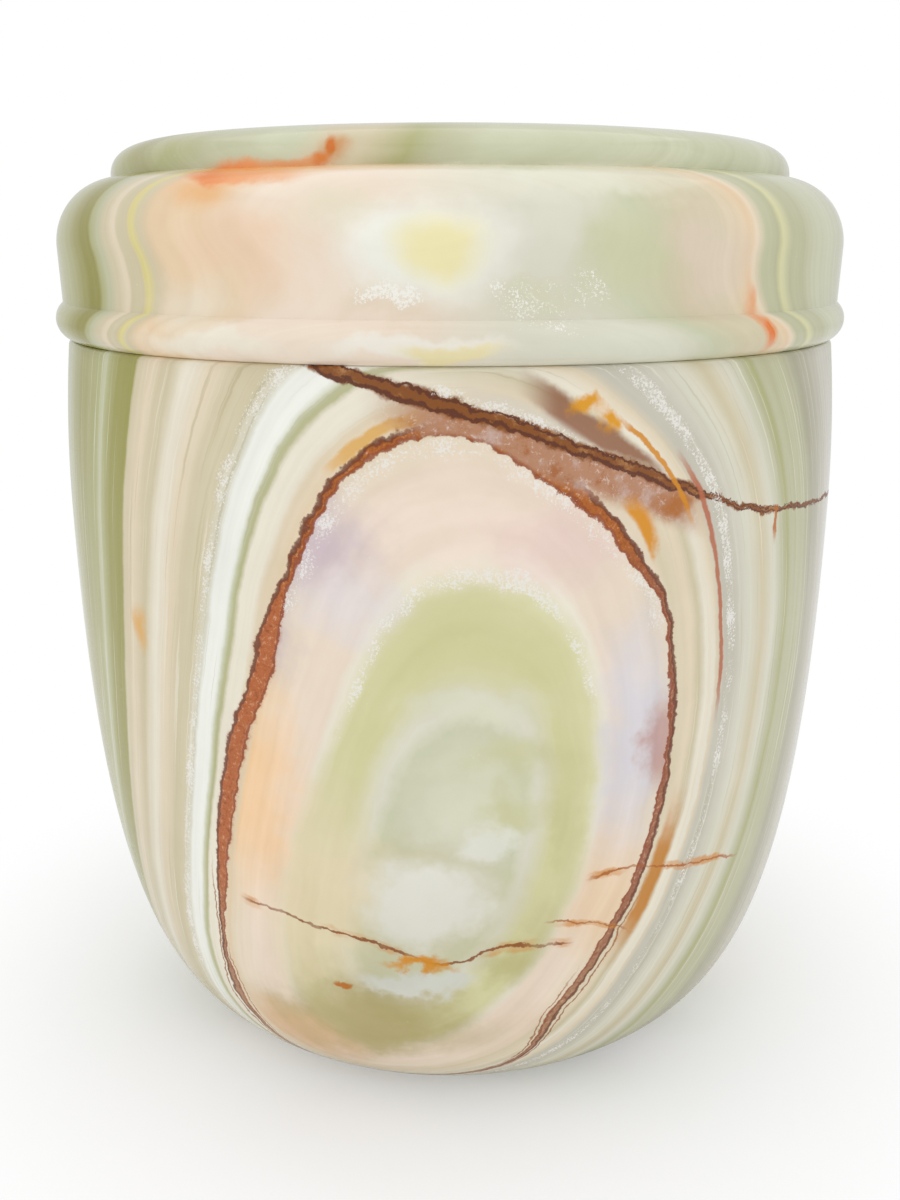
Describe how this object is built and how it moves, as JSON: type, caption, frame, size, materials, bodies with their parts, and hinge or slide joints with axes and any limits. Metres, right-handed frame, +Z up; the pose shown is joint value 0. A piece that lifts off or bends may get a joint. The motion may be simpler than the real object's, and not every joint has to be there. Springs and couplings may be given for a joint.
{
  "type": "cremation urn",
  "caption": "Turned, hollow stone urn with a broad drum-shaped body that rounds in to a flat base, and a stepped, bead-edged lid that lifts off.",
  "frame": {"origin": "centre of the flat underside, where the urn stands", "axes": "+Z up the turning axis; +X to the right and -Y towards the viewer of the side with the closed brown ring in the stone"},
  "size_m": [0.2406, 0.2406, 0.278],
  "materials": {
    "body_stone": "polished",
    "lid_stone": "polished"
  },
  "bodies": {
    "root": {"body": "body_stone", "lid": "lid_stone"}
  },
  "joints": []
}
